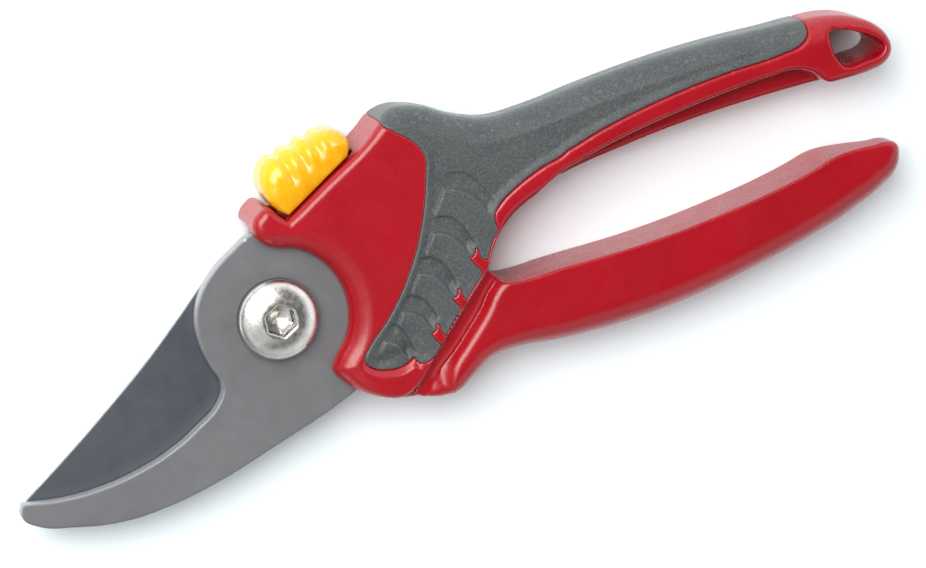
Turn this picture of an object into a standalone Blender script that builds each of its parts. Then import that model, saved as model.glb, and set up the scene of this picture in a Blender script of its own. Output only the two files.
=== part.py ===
"""Bypass pruner: a hook plate in a two-colour upper handle, and a cutting blade in a lower handle.

The tool lies flat, closed and locked. +X runs from the pivot to the handle ends, +Y towards the
thumb slider, and +Z out of the face with the domed bolt head. The origin is on the pivot axis, on
the plane that the back of the tool rests on. Outlines are in millimetres; the scene is in metres.
"""

import math

import bmesh
import bpy
from mathutils import Matrix, Vector

MM = 0.001
GAP = 0.3                                   # clearance between touching pieces

# Layers through the thickness, from the back to the face.
COVER_FRONT = 2.0
HEAD_BACK = COVER_FRONT + GAP
BLADE_BACK, BLADE_FRONT = 5.4, 8.85
HOOK_BACK, HOOK_FRONT = BLADE_FRONT + GAP, 12.6
CHEEK_BACK = HOOK_FRONT + GAP
FACE = 18.0
LOWER_BACK, LOWER_FACE = 0.3, 17.6
BEYOND = 3.0                                # how far a cutter reaches past the surface it opens

# Pivot.
BOLT_HEAD_RADIUS = 8.75
BOLT_HEAD_TOP = 17.3
SHANK_RADIUS = 4.0
SOCKET_FLATS, SOCKET_DEPTH = 6.0, 2.8
BUSH_RADIUS = 5.6
NUT_FLATS, NUT_HEIGHT = 13.0, 3.8
NUT_FLOOR = 1.1
WASHER_RADIUS = 8.2
BOSS_RADIUS = 14.5
BODY_ARC_RADIUS = 15.3                      # the round edge of the body beside the pivot
COVER_ARC_RADIUS = BOSS_RADIUS + 0.8
CAVITY_RADIUS = 20.6

# Lock: the slider runs on the sloping top of the body, along the channel.
CHANNEL_START = (12.6, 19.7)
CHANNEL_ANGLE = math.radians(20.0)
SLIDER_TRAVEL = 5.5
GROOVE_DEPTH = 3.2
GROOVE_LOW, GROOVE_HIGH = 4.6, 13.0
KEEL_START, KEEL_END, KEEL_DEPTH = -1.0, 11.3, 1.9
KEEL_TOP = 1.5                              # how far the keel reaches up inside the pad
CATCH_WAY_END, CATCH_WAY_DEPTH = 14.0, 7.2
CATCH_LOW, CATCH_HIGH = 5.7, 8.6
SLIDER_LOW, SLIDER_HIGH = 2.2, 15.8
LOCK_PIN = (4.4, -1.25)                     # along the channel and above the top line
LOCK_PIN_RADIUS = 0.6
LOCK_PIN_TOP = GROOVE_HIGH - 1.6            # the top of the pin's hole in the keel
DETENT_LOW, DETENT_HIGH = 9.4, 12.4
DETENT_CREST = [(6, -2.95), (8.5, -2.9), (10.1, -2.25), (11.7, -2.9), (16.5, -2.95)]
DETENT_BACK = [(16.5, -2.65), (11.9, -2.6), (10.1, -2.05), (8.3, -2.6), (6, -2.65)]

# Return spring.
SPRING_LOW_END, SPRING_HIGH_END = (29.2, -5.2), (31.4, 9.2)
SPRING_Z = 5.6
SPRING_RADIUS, SPRING_WIRE = 2.35, 0.5
SPRING_TURNS = 7

# Screws: radii of head and shank, then the places and the heights of head back, head front and tip.
SCREW_HEAD, SCREW_SHANK = 2.2, 1.1
SCREW_RECESS, SCREW_RECESS_DEPTH = 0.95, 0.5
COVER_SCREWS = ((24.0, 14.0), (39.4, 5.4), (44.4, -4.2))
COVER_SCREW_HEIGHTS = (0.15, 0.8, 7.2)
HOOK_SCREWS = ((35.2, 16.9), (54.2, 10.7))
HOOK_SCREW_HEIGHTS = (2.3, 4.1, 14.4)
BLADE_SCREWS = ((52.0, -21.6), (67.0, -25.4))
BLADE_SCREW_HEIGHTS = (0.8, 2.3, 12.4)

CORNER = True                               # a third value on an outline point that stays sharp

HOOK_OUTLINE = [
    (60, 10.5), (57, 13.2), (45, 17.6), (30, 19.2), (18, 16.2), (10, 15.9), (3, 18.7), (-3, 17.2),
    (-8, 15.1), (-12.5, 11.9), (-15.6, 7.6), (-17, 2), (-16.9, -3.5), (-16.4, -8.2),
    (-18.6, -11.3), (-25, -14.2), (-32, -16.2), (-40, -17.1), (-48, -16.9), (-57, -15.3),
    (-65.4, -12.3, CORNER), (-66.6, -14.9), (-64.5, -18), (-57, -22), (-48, -25.3), (-38, -26.8),
    (-26, -26.8), (-12, -25.3), (8, -22.3), (17, -19.4), (25, -14.5), (33, -7), (42, 0.5),
    (52, 5.2), (58.5, 7.4),
]
HOOK_EDGE = (-62.0, -19.0, -18.5, -9.0)     # x from, x to, y from, y to of the bevelled edge
HOOK_BEVEL = 1.0

BLADE_OUTLINE = [
    (74.5, -24.3), (70, -23), (56, -18.8), (47, -15.8), (38, -11.8), (30, -8), (23, -1.5), (18.2, 5),
    (14.6, 11.4), (10.6, 15.4), (5.5, 17.8), (1, 18), (-4, 16.3), (-9, 14.1), (-19, 8.4),
    (-29, 2.9), (-39, -1.9), (-49, -6.4), (-59, -10.6), (-64.6, -12.8, CORNER), (-60.5, -16.8),
    (-54, -20), (-46, -22.3), (-38, -23.4), (-30, -23.2), (-23, -21.2), (-17, -17.2),
    (-9, -14.9), (2, -15.3), (12, -16.2), (24, -18.2), (38, -22.2), (52, -25.6), (66, -28.4),
    (72, -29), (75.5, -27),
]
HEEL_NOTCH, HEEL_NOTCH_RADIUS = (8.6, 17.2), 1.7    # where the lock holds the blade shut

HEAD_OUTLINE = [
    (12, 8), (8, 12.1), (0, 14.5), (-8, 12.1), (-12.6, 7.2), (-14.5, 0), (-12.6, -7.2), (-8, -12.1),
    (0, -15.5), (6, -19), (10.5, -23.6), (14.2, -26.9), (19, -29.5), (24, -30.6), (32, -29),
    (48, -24), (50, -19), (46, -16.6), (38, -12.9), (30, -9.2), (23, -3), (17, 3.5),
]
LOWER_OUTLINE = [
    (46.9, -13.8, CORNER), (48.9, -14.7), (60, -16.6), (80, -19.9), (100, -21.6), (112, -21.9),
    (119, -21.6), (123.5, -21.1), (128, -21.5), (133.6, -22.7), (136.8, -23.5), (138.3, -24.9),
    (138.2, -27.3), (136.6, -30.1), (132.8, -32.3), (125, -34.5), (115, -35.8), (100, -36.5),
    (85, -36.4), (70, -34.9), (55, -31.9), (43, -28.5), (38, -28.3), (33, -30.1), (28.4, -31.5),
    (24, -30.4), (21.5, -28.9), (19.9, -27.3, CORNER), (21.5, -25.9), (23.5, -24.6), (26.2, -22.7),
    (45.2, -9.9, CORNER),
]
CAVITY_OUTLINE = [
    (48.6, -12.3), (38, -4.6), (30, 1.8), (22.5, 8), (17.8, 10.4), (14.6, 14.6), (10.3, 17.8),
    (5.3, 19.9), (0, 20.6), (-10, 22), (-25, 20), (-25, -45), (30, -45), (60, -22),
]
COVER_OUTLINE = [
    (4.9, 14.7), (3.7, 18.4), (5.6, 21.2), (9.4, 20.3), (14, 18.9), (20, 17.9), (25, 17.2),
    (29, 14.8), (34, 13.4), (39.6, 9.4), (44.5, 2.4), (47.2, -3.2), (46.2, -6.6), (44.2, -8.9, CORNER),
    (25.6, -21.5, CORNER), (22.8, -23.8), (19.8, -25.5), (17, -25.9), (13.6, -24.5), (10.2, -21.8),
    (7.6, -18), (6.9, -15), (8.2, -13),
]
BODY_TOP = [
    (36.4, 29.2), (38.2, 30.1), (40.4, 30.4), (43.5, 29.4), (47.5, 27), (51.5, 23.5), (54.8, 21.2),
    (59, 19.1), (66, 17.8), (81, 16.7), (95, 15.3), (110, 12.9), (122, 10.3), (131, 8.4), (136, 6.9),
    (140.5, 4.5), (143.9, 1.2), (145.5, -2.6), (145, -5.6), (142.6, -7.3), (139, -7.5), (134, -6.8),
    (126, -5.2), (112, -2.8), (98, -1), (84, 0.1), (70, 0.6), (60, 0), (53.5, -2), (48.7, -5),
    (44.9, -9.4, CORNER), (26, -22.2), (23.2, -24.4), (20.2, -26.2), (17, -26.6), (13.6, -25.1),
    (10, -22.2), (7.4, -18.6), (6.3, -15),
]
ARCH_OUTLINE = [
    (61.5, -1), (66, 1.8), (74, 2.9), (84, 3.3), (96, 3), (108, 2.2), (118, 1.1), (124.2, -0.2),
    (127.6, -3.2), (128.8, -8), (127.4, -12), (60, -8),
]
ARCH_Z = 12.0
HANG_HOLE = [
    (133.8, 4.2), (136.6, 3.4), (139.6, 1.5), (142.4, -1.2), (143.6, -3.4), (142.6, -4.6),
    (138, -4.6), (134.4, -4.1), (133.4, -2.6), (133.2, 2.6),
]
GRIP_SCALES = [
    (36.8, 26.4), (41.2, 22.2), (42.2, 18.6), (40.4, 12.8), (36, 5), (29.6, -3.3), (21.5, -10),
    (14.8, -14), (12.9, -15.6), (13.6, -17.6), (16.6, -19.6), (20.5, -20.5), (24.6, -21.1),
    (31.5, -17.1), (38.4, -12.4), (43.4, -8.3), (47.3, -4), (51.4, 0.9), (57, 3.8), (64, 4.4),
    (70, 9), (60, 16), (48, 25), (38.6, 27.6),
]
GRIP_SLEEVE = [
    (37.4, 26.4), (42.5, 22), (46.5, 16), (50.8, 9), (54, 5.2), (60, 5.2), (68, 6), (80, 7.2),
    (95, 7.3), (110, 6.2), (122, 4.7), (127.4, 5), (129.6, 7), (128.8, 11), (120, 20), (60, 32),
    (35, 36), (35.4, 30),
]
CORE_LOW, CORE_HIGH = 2.2, 15.6
CORE_OUTLINE = [
    (20, 24), (36, 26.6), (39.5, 28), (43.2, 27), (46.2, 25.1), (50.2, 21.7), (53.8, 19.2),
    (58.4, 16.9), (66, 15.6), (81, 14.5), (95, 13.1), (110, 10.7), (122, 8), (131, 6.1),
    (140, -12), (60, -30), (20, -40), (0, -40), (0, 10),
]


def material(name, color, roughness, metallic=0.0):
    made = bpy.data.materials.new(name)
    made.use_nodes = True
    shader = made.node_tree.nodes["Principled BSDF"]
    shader.inputs["Base Color"].default_value = (*color, 1.0)
    shader.inputs["Roughness"].default_value = roughness
    shader.inputs["Metallic"].default_value = metallic
    return made


def channel_point(along, above):
    """A point given along the slider's channel and above the top line of the body."""
    cos, sin = math.cos(CHANNEL_ANGLE), math.sin(CHANNEL_ANGLE)
    return (CHANNEL_START[0] + along * cos - above * sin, CHANNEL_START[1] + along * sin + above * cos)


def arc(radius, start, end, count):
    """Points on a circle round the pivot, from one angle in degrees to another."""
    angles = (math.radians(start + (end - start) * i / (count - 1)) for i in range(count))
    return [(radius * math.cos(a), radius * math.sin(a)) for a in angles]


def grow(points, distance):
    """The outline moved outwards by a clearance, point by point along its normal."""
    flat = [Vector(p[:2]) for p in points]
    count = len(flat)
    area = sum(flat[i - 1].cross(flat[i]) for i in range(count))
    side = -1 if area > 0 else 1
    grown = []
    for i, point in enumerate(points):
        before = (flat[i] - flat[i - 1]).normalized()
        after = (flat[(i + 1) % count] - flat[i]).normalized()
        along = (before + after).normalized()
        normal = Vector((-along.y, along.x)) * side
        reach = distance / max(0.5, normal.dot(Vector((-after.y, after.x)) * side))
        grown.append((flat[i].x + normal.x * reach, flat[i].y + normal.y * reach, *point[2:]))
    return grown


def link(obj, collection, finish=None):
    collection.objects.link(obj)
    if finish is None:
        obj.hide_render = True
        obj.display_type = "WIRE"
    else:
        obj.data.materials.clear()
        obj.data.materials.append(finish)
    return obj


def mesh_of(obj):
    """The evaluated mesh of an object, which is then removed."""
    bpy.context.scene.collection.objects.link(obj)
    graph = bpy.context.evaluated_depsgraph_get()
    mesh = bpy.data.meshes.new_from_object(obj.evaluated_get(graph))
    mesh.transform(obj.matrix_world)
    source = obj.data
    bpy.data.objects.remove(obj)
    bpy.data.curves.remove(source)
    return mesh


def plate(name, points, low, high, steps=3, rims=(0.0, 0.0), segments=2):
    """A flat outline, smooth but for its CORNER points, from one height to another.

    rims are the widths of the rounding along the back and the front rim.
    """
    curve = bpy.data.curves.new(name, "CURVE")
    curve.dimensions = "2D"
    curve.fill_mode = "BOTH"
    curve.resolution_u = steps
    curve.extrude = (high - low) / 2 * MM
    spline = curve.splines.new("BEZIER")
    spline.bezier_points.add(len(points) - 1)
    spline.use_cyclic_u = True
    for knot, point in zip(spline.bezier_points, points):
        knot.co = (point[0] * MM, point[1] * MM, 0)
        kind = "VECTOR" if len(point) > 2 else "AUTO"
        knot.handle_left_type = knot.handle_right_type = kind
    source = bpy.data.objects.new(name, curve)
    source.location.z = (low + high) / 2 * MM
    mesh = mesh_of(source)
    shape = bmesh.new()
    shape.from_mesh(mesh)
    bmesh.ops.remove_doubles(shape, verts=shape.verts, dist=1e-6)
    flat = math.radians(1)
    bmesh.ops.dissolve_limit(shape, angle_limit=flat, verts=shape.verts, edges=shape.edges)
    for width, height in zip(rims, (low, high)):
        if width:
            rim = [e for e in shape.edges if all(abs(v.co.z - height * MM) < 1e-6 for v in e.verts)]
            bmesh.ops.bevel(
                shape, geom=rim, offset=width * MM, segments=segments, profile=0.5,
                affect="EDGES", clamp_overlap=True,
            )
    bmesh.ops.recalc_face_normals(shape, faces=shape.faces)
    shape.to_mesh(mesh)
    shape.free()
    return bpy.data.objects.new(name, mesh)


def cylinder(name, centre, radius, low, high, sides=32):
    """An upright cylinder or, with six sides, a hexagon with that distance from centre to corner."""
    shape = bmesh.new()
    bmesh.ops.create_cone(
        shape, cap_ends=True, segments=sides, radius1=radius * MM, radius2=radius * MM,
        depth=(high - low) * MM,
        matrix=Matrix.Translation((centre[0] * MM, centre[1] * MM, (low + high) / 2 * MM)),
    )
    mesh = bpy.data.meshes.new(name)
    shape.to_mesh(mesh)
    shape.free()
    return bpy.data.objects.new(name, mesh)


def turned(name, profile, centre=(0.0, 0.0), steps=32):
    """A profile of (radius, height) points, top to bottom along its outer side, turned round Z."""
    mesh = bpy.data.meshes.new(name)
    points = [(radius * MM, 0, height * MM) for radius, height in profile]
    mesh.from_pydata(points, [(i, i + 1) for i in range(len(points) - 1)], [])
    obj = bpy.data.objects.new(name, mesh)
    obj.location = (centre[0] * MM, centre[1] * MM, 0)
    screw = obj.modifiers.new("turn", "SCREW")
    screw.axis = "Z"
    screw.steps = screw.render_steps = steps
    screw.use_merge_vertices = True
    screw.merge_threshold = 1e-5
    return obj


def boolean(obj, other, operation="DIFFERENCE"):
    step = obj.modifiers.new(other.name, "BOOLEAN")
    step.operation = operation
    step.object = other
    return obj


def smooth(obj):
    obj.data.shade_smooth()
    obj.data.set_sharp_from_angle(angle=math.radians(35))


def cut_all(obj, cutters, helpers):
    for cutter in cutters:
        boolean(obj, link(cutter, helpers))


def bolt_hole(name, radius, low, high, centre=(0.0, 0.0)):
    return cylinder(name, centre, radius, low, high, 32)


def screw_ways(name, place, heights):
    """The hole for a screw's shank, and the wider seat for its head."""
    head_front, tip = heights[1:]
    return [
        bolt_hole(f"{name}_way", SCREW_SHANK + GAP, -BEYOND, tip + 2 * GAP, place),
        bolt_hole(f"{name}_seat", SCREW_HEAD + GAP, -BEYOND, head_front + GAP, place),
    ]


def make_hook_plate(parts, helpers, steel):
    obj = plate("hook_plate", HOOK_OUTLINE, HOOK_BACK, HOOK_FRONT, steps=4)
    x_from, x_to, y_from, y_to = (value * MM for value in HOOK_EDGE)
    shape = bmesh.new()
    shape.from_mesh(obj.data)
    edge = [
        e for e in shape.edges
        if all(v.co.z > (HOOK_FRONT - 0.1) * MM and x_from < v.co.x < x_to for v in e.verts)
        and all(y_from < v.co.y < y_to for v in e.verts)
    ]
    bmesh.ops.bevel(shape, geom=edge, offset=HOOK_BEVEL * MM, segments=1, affect="EDGES")
    shape.to_mesh(obj.data)
    shape.free()
    holes = [bolt_hole("hook_bore", SHANK_RADIUS + GAP, HOOK_BACK - BEYOND, HOOK_FRONT + BEYOND)]
    for i, place in enumerate(HOOK_SCREWS, 1):
        radius = SCREW_SHANK + GAP
        holes.append(bolt_hole(f"hook_hole_{i}", radius, HOOK_BACK - BEYOND, HOOK_FRONT + BEYOND, place))
    cut_all(obj, holes, helpers)
    return link(obj, parts, steel)


def make_cutting_blade(parts, helpers, steel):
    obj = plate("cutting_blade", BLADE_OUTLINE, BLADE_BACK, BLADE_FRONT, steps=4)
    low, high = BLADE_BACK - BEYOND, BLADE_FRONT + BEYOND
    holes = [
        bolt_hole("blade_bore", BUSH_RADIUS + GAP, low, high),
        cylinder("heel_notch", HEEL_NOTCH, HEEL_NOTCH_RADIUS, low, high, 16),
    ]
    for i, place in enumerate(BLADE_SCREWS, 1):
        holes.append(bolt_hole(f"blade_hole_{i}", SCREW_SHANK + GAP, low, high, place))
    cut_all(obj, holes, helpers)
    return link(obj, parts, steel)


def make_lower_handle(parts, helpers, plastic):
    obj = plate("lower_handle", LOWER_OUTLINE, LOWER_BACK, LOWER_FACE, rims=(2.0, 2.0))
    head = plate("lower_head", HEAD_OUTLINE, HEAD_BACK, BLADE_FRONT)
    boss = cylinder("lower_boss", (0, 0), BOSS_RADIUS, LOWER_BACK, HEAD_BACK + 1.0, 48)
    for addition in (head, boss):
        boolean(obj, link(addition, helpers), "UNION")
    pocket = plate("blade_pocket", grow(BLADE_OUTLINE, GAP), BLADE_BACK - GAP, BLADE_FRONT + GAP)
    cutters = [pocket, bolt_hole("nut_recess", WASHER_RADIUS + 2 * GAP, -BEYOND, BLADE_BACK)]
    for i, place in enumerate(BLADE_SCREWS, 1):
        cutters += screw_ways(f"blade_screw_{i}", place, BLADE_SCREW_HEIGHTS)
    cut_all(obj, cutters, helpers)
    return link(obj, parts, plastic)


def body_outline():
    """The upper moulding: its round edge at the pivot, the front cap, the channel and the handle."""
    cap = [
        (2.9, 17.6), (2.5, 19.6), (3.3, 21.7), (5, 22.9), (7.2, 23.3), channel_point(-3.1, 1.9),
        (*channel_point(-2.6, 0), CORNER), channel_point(8, 0), channel_point(21, 0),
    ]
    return arc(BODY_ARC_RADIUS, -60, 70, 8) + cap + BODY_TOP


def make_upper_handle(parts, helpers, plastic):
    obj = plate("upper_handle", body_outline(), 0.0, FACE, rims=(1.0, 1.0))
    scales = plate("scale_space", grow(GRIP_SCALES, GAP), CORE_HIGH, FACE + BEYOND)
    sleeve = plate("sleeve_space", grow(GRIP_SLEEVE, GAP), -BEYOND, FACE + 2 * BEYOND)
    boolean(sleeve, link(plate("core", CORE_OUTLINE, CORE_LOW, CORE_HIGH), helpers))
    cutters = [
        scales, sleeve,
        plate("cavity", CAVITY_OUTLINE, -BEYOND, HOOK_BACK + 1.0),
        plate("hook_space", grow(HOOK_OUTLINE, GAP), HOOK_BACK - GAP, HOOK_FRONT + GAP),
        plate("cover_recess", grow(COVER_OUTLINE, GAP), -BEYOND, COVER_FRONT + GAP),
        plate("hang_hole", HANG_HOLE, -BEYOND, FACE + BEYOND),
        *lock_spaces(),
        spring_pocket(),
    ]
    for i, place in enumerate(COVER_SCREWS, 1):
        cutters.append(screw_ways(f"cover_screw_{i}", place, COVER_SCREW_HEIGHTS)[0])
    for i, place in enumerate(HOOK_SCREWS, 1):
        cutters += screw_ways(f"hook_screw_{i}", place, HOOK_SCREW_HEIGHTS)
    cutters.append(plate("arch", ARCH_OUTLINE, ARCH_Z, FACE + BEYOND, steps=2))
    cut_all(obj, cutters, helpers)
    return link(obj, parts, plastic)


def make_soft_grip(parts, helpers, rubber):
    """The soft layer: what is left of the handle's outer shape inside the grip's outlines."""
    obj = plate("soft_grip", GRIP_SLEEVE, -BEYOND, FACE + BEYOND)
    scales = plate("grip_scales", GRIP_SCALES, CORE_HIGH + GAP, FACE + 2 * BEYOND)
    boolean(obj, link(scales, helpers), "UNION")
    shape = plate("grip_shape", body_outline(), 0.0, FACE, rims=(1.0, 1.0))
    boolean(obj, link(shape, helpers), "INTERSECT")
    core = plate("grip_core", grow(CORE_OUTLINE, GAP), CORE_LOW - GAP, CORE_HIGH + GAP)
    cut_all(obj, [core], helpers)
    return link(obj, parts, rubber)


def channel_box(start, end, low, high):
    """Four corners of a box along the channel, from one height over its top line to another."""
    corners = [(start, low), (start, high), (end, high), (end, low)]
    return [(*channel_point(*corner), CORNER) for corner in corners]


def lock_spaces():
    """The channel's groove, and the way through its floor in which the catch slides."""
    groove_end = KEEL_END + SLIDER_TRAVEL + 2 * GAP
    groove = channel_box(KEEL_START - 2 * GAP, groove_end, -GROOVE_DEPTH, BEYOND)
    catch_way = channel_box(-1.8, CATCH_WAY_END, -CATCH_WAY_DEPTH, 0)
    return [
        plate("groove", groove, GROOVE_LOW, GROOVE_HIGH),
        plate("catch_way", catch_way, CATCH_LOW - GAP, CATCH_HIGH + GAP),
    ]


def make_lock_slider(parts, helpers, plastic):
    pad = [
        (*channel_point(-1.5, GAP), CORNER), (*channel_point(16, GAP), CORNER),
        channel_point(18.2, 1.7), channel_point(18.8, 4), channel_point(17.4, 6.5),
        channel_point(13.6, 8.8), channel_point(8, 10.3), channel_point(3.6, 11.4),
        channel_point(0.6, 10.6), channel_point(-1.6, 8.1), channel_point(-2.5, 5.2),
        channel_point(-2.4, 2.4),
    ]
    obj = plate("lock_slider", pad, SLIDER_LOW, SLIDER_HIGH, rims=(2.0, 2.0))
    keel = channel_box(KEEL_START, KEEL_END, -KEEL_DEPTH, KEEL_TOP)
    stem = plate("slider_keel", keel, GROOVE_LOW + GAP, GROOVE_HIGH - GAP)
    boolean(obj, link(stem, helpers), "UNION")
    pocket = channel_box(KEEL_START - 2, 6 + GAP, -KEEL_DEPTH - 2, -0.4)
    place = channel_point(*LOCK_PIN)
    hole = bolt_hole("slider_pin_hole", LOCK_PIN_RADIUS + GAP, GROOVE_LOW - 1, LOCK_PIN_TOP, place)
    cut_all(obj, [plate("catch_pocket", pocket, CATCH_LOW - GAP, CATCH_HIGH + GAP), hole], helpers)
    return link(obj, parts, plastic)


def make_lock_catch(parts, helpers, steel):
    """A hooked tongue under the slider; its nose faces the notch in the blade's heel."""
    tongue = [
        (*channel_point(0.2, -0.7), CORNER), (*channel_point(6, -0.7), CORNER),
        (*channel_point(6, -3.4), CORNER), (*channel_point(3.2, -4.6), CORNER),
        (*channel_point(-0.6, -4.3), CORNER), (*channel_point(-1.0, -3.2), CORNER),
        (*channel_point(0.2, -2.6), CORNER),
    ]
    obj = plate("lock_catch", tongue, CATCH_LOW, CATCH_HIGH)
    low, high = CATCH_LOW - BEYOND, CATCH_HIGH + BEYOND
    hole = bolt_hole("catch_hole", LOCK_PIN_RADIUS + GAP, low, high, channel_point(*LOCK_PIN))
    cut_all(obj, [hole], helpers)
    return link(obj, parts, steel)


def make_lock_pin(parts, steel):
    """The pin that ties the catch to the keel of the slider."""
    low, high = GROOVE_LOW + GAP, LOCK_PIN_TOP - GAP
    obj = cylinder("lock_pin", channel_point(*LOCK_PIN), LOCK_PIN_RADIUS, low, high, 16)
    smooth(obj)
    return link(obj, parts, steel)


def make_detent_spring(parts, steel):
    """A leaf in the floor of the groove, with a low crest that holds the slider at either end."""
    leaf = [channel_point(*point) for point in DETENT_CREST + DETENT_BACK]
    return link(plate("detent_spring", leaf, DETENT_LOW, DETENT_HIGH), parts, steel)


def spring_pocket():
    """A round way for the return spring, from the cavity up into the moulding."""
    low, high = Vector((*SPRING_LOW_END, SPRING_Z)), Vector((*SPRING_HIGH_END, SPRING_Z))
    along = (high - low).normalized()
    start, end = low, high + along * 2 * GAP
    radius = SPRING_RADIUS + SPRING_WIRE + 2 * GAP
    shape = bmesh.new()
    turn = along.to_track_quat("Z", "Y").to_matrix().to_4x4()
    bmesh.ops.create_cone(
        shape, cap_ends=True, segments=20, radius1=radius * MM, radius2=radius * MM,
        depth=(end - start).length * MM, matrix=Matrix.Translation((start + end) / 2 * MM) @ turn,
    )
    mesh = bpy.data.meshes.new("spring_pocket")
    shape.to_mesh(mesh)
    shape.free()
    return bpy.data.objects.new("spring_pocket", mesh)


def make_return_spring(parts, steel):
    low, high = Vector((*SPRING_LOW_END, SPRING_Z)), Vector((*SPRING_HIGH_END, SPRING_Z))
    along = (high - low).normalized()
    side = Vector((-along.y, along.x, 0))
    up = Vector((0, 0, 1))
    per_turn = 12
    count = SPRING_TURNS * per_turn
    curve = bpy.data.curves.new("return_spring", "CURVE")
    curve.dimensions = "3D"
    curve.bevel_depth = SPRING_WIRE * MM
    curve.bevel_resolution = 2
    curve.use_fill_caps = True
    spline = curve.splines.new("POLY")
    spline.points.add(count)
    reach = (high - low).length - 2 * SPRING_WIRE
    for i, knot in enumerate(spline.points):
        angle = 2 * math.pi * i / per_turn
        radial = side * math.cos(angle) + up * math.sin(angle)
        point = low + along * (SPRING_WIRE + reach * i / count) + radial * SPRING_RADIUS
        knot.co = (*(point * MM), 1)
    return link(bpy.data.objects.new("return_spring", curve), parts, steel)


def make_rear_cover(parts, helpers, plastic):
    obj = plate("rear_cover", COVER_OUTLINE, 0.0, COVER_FRONT, rims=(0.5, 0.0), segments=1)
    cutters = [bolt_hole("cover_arc", COVER_ARC_RADIUS, -BEYOND, COVER_FRONT + BEYOND)]
    for i, place in enumerate(COVER_SCREWS, 1):
        cutters += screw_ways(f"cover_{i}", place, COVER_SCREW_HEIGHTS)
    cut_all(obj, cutters, helpers)
    return link(obj, parts, plastic)


def make_screw(name, place, heights, parts, helpers, steel):
    """A pan-head screw driven from the back, with a square recess in its head."""
    head_back, head_front, tip = heights
    profile = [
        (0, tip), (SCREW_SHANK, tip - 0.6), (SCREW_SHANK, head_front), (SCREW_HEAD, head_front),
        (SCREW_HEAD, head_back + 0.3), (SCREW_HEAD - 0.4, head_back), (0, head_back),
    ]
    obj = turned(name, profile, place, steps=20)
    depth = head_back + SCREW_RECESS_DEPTH
    recess = cylinder(f"{name}_recess", place, SCREW_RECESS, head_back - BEYOND, depth, 4)
    cut_all(obj, [recess], helpers)
    smooth(obj)
    return link(obj, parts, steel)


def make_screws(parts, helpers, steel):
    for i, place in enumerate(COVER_SCREWS, 1):
        make_screw(f"cover_screw_{i}", place, COVER_SCREW_HEIGHTS, parts, helpers, steel)
    for i, place in enumerate(HOOK_SCREWS, 1):
        make_screw(f"hook_screw_{i}", place, HOOK_SCREW_HEIGHTS, parts, helpers, steel)
    for i, place in enumerate(BLADE_SCREWS, 1):
        make_screw(f"blade_screw_{i}", place, BLADE_SCREW_HEIGHTS, parts, helpers, steel)


def make_pivot_bolt(parts, helpers, chrome):
    crown_base = CHEEK_BACK + 1.3
    crown = []
    for i in range(9):
        angle = math.radians(90 - 90 * i / 8)
        height = crown_base + (BOLT_HEAD_TOP - crown_base) * math.sin(angle)
        crown.append((BOLT_HEAD_RADIUS * math.cos(angle), height))
    crown[0] = (0, BOLT_HEAD_TOP)
    shank = [
        (BOLT_HEAD_RADIUS - 0.4, CHEEK_BACK), (SHANK_RADIUS, CHEEK_BACK), (SHANK_RADIUS, 2.0),
        (SHANK_RADIUS - 0.5, NUT_FLOOR + GAP), (0, NUT_FLOOR + GAP),
    ]
    obj = turned("pivot_bolt", crown + shank, steps=48)
    corner = SOCKET_FLATS / math.sqrt(3)
    socket = cylinder("socket", (0, 0), corner, BOLT_HEAD_TOP - SOCKET_DEPTH, BOLT_HEAD_TOP + 1, 6)
    cut_all(obj, [socket], helpers)
    smooth(obj)
    return link(obj, parts, chrome)


def make_pivot_nut(parts, helpers, chrome):
    obj = cylinder("pivot_nut", (0, 0), NUT_FLATS / math.sqrt(3), 0.0, NUT_HEIGHT, 6)
    cut_all(obj, [bolt_hole("nut_bore", SHANK_RADIUS + GAP, NUT_FLOOR, NUT_HEIGHT + BEYOND)], helpers)
    return link(obj, parts, chrome)


def ring(name, outer, inner, low, high, parts, finish):
    profile = [(inner, high), (outer, high), (outer, low), (inner, low), (inner, high)]
    obj = turned(name, profile, steps=40)
    smooth(obj)
    return link(obj, parts, finish)


def main():
    for obj in list(bpy.data.objects):
        bpy.data.objects.remove(obj)
    parts = bpy.data.collections.new("bypass_pruner")
    helpers = bpy.data.collections.new("cutters")
    for collection in (parts, helpers):
        bpy.context.scene.collection.children.link(collection)

    red = material("red_plastic", (0.48, 0.006, 0.014), 0.38)
    grey = material("grey_rubber", (0.115, 0.122, 0.122), 0.8)
    yellow = material("yellow_plastic", (1.0, 0.6, 0.0), 0.25)
    hook_steel = material("coated_hook_steel", (0.25, 0.25, 0.27), 0.5, 0.6)
    blade_steel = material("coated_blade_steel", (0.07, 0.08, 0.1), 0.4, 0.6)
    zinc = material("zinc_plated_steel", (0.75, 0.75, 0.72), 0.2, 1.0)
    spring_steel = material("spring_steel", (0.45, 0.45, 0.45), 0.35, 1.0)
    brass = material("bush_brass", (0.6, 0.43, 0.16), 0.35, 1.0)

    make_hook_plate(parts, helpers, hook_steel)
    make_cutting_blade(parts, helpers, blade_steel)
    make_upper_handle(parts, helpers, red)
    make_soft_grip(parts, helpers, grey)
    make_rear_cover(parts, helpers, red)
    make_lower_handle(parts, helpers, red)
    make_lock_slider(parts, helpers, yellow)
    make_lock_catch(parts, helpers, spring_steel)
    make_lock_pin(parts, zinc)
    make_detent_spring(parts, spring_steel)
    make_return_spring(parts, spring_steel)
    make_screws(parts, helpers, zinc)
    make_pivot_bolt(parts, helpers, zinc)
    make_pivot_nut(parts, helpers, zinc)
    ring("pivot_washer", WASHER_RADIUS, SHANK_RADIUS + GAP, NUT_HEIGHT + GAP, BLADE_BACK - GAP, parts, zinc)
    ring("pivot_bush", BUSH_RADIUS, SHANK_RADIUS + GAP, BLADE_BACK, BLADE_FRONT, parts, brass)


main()
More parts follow.
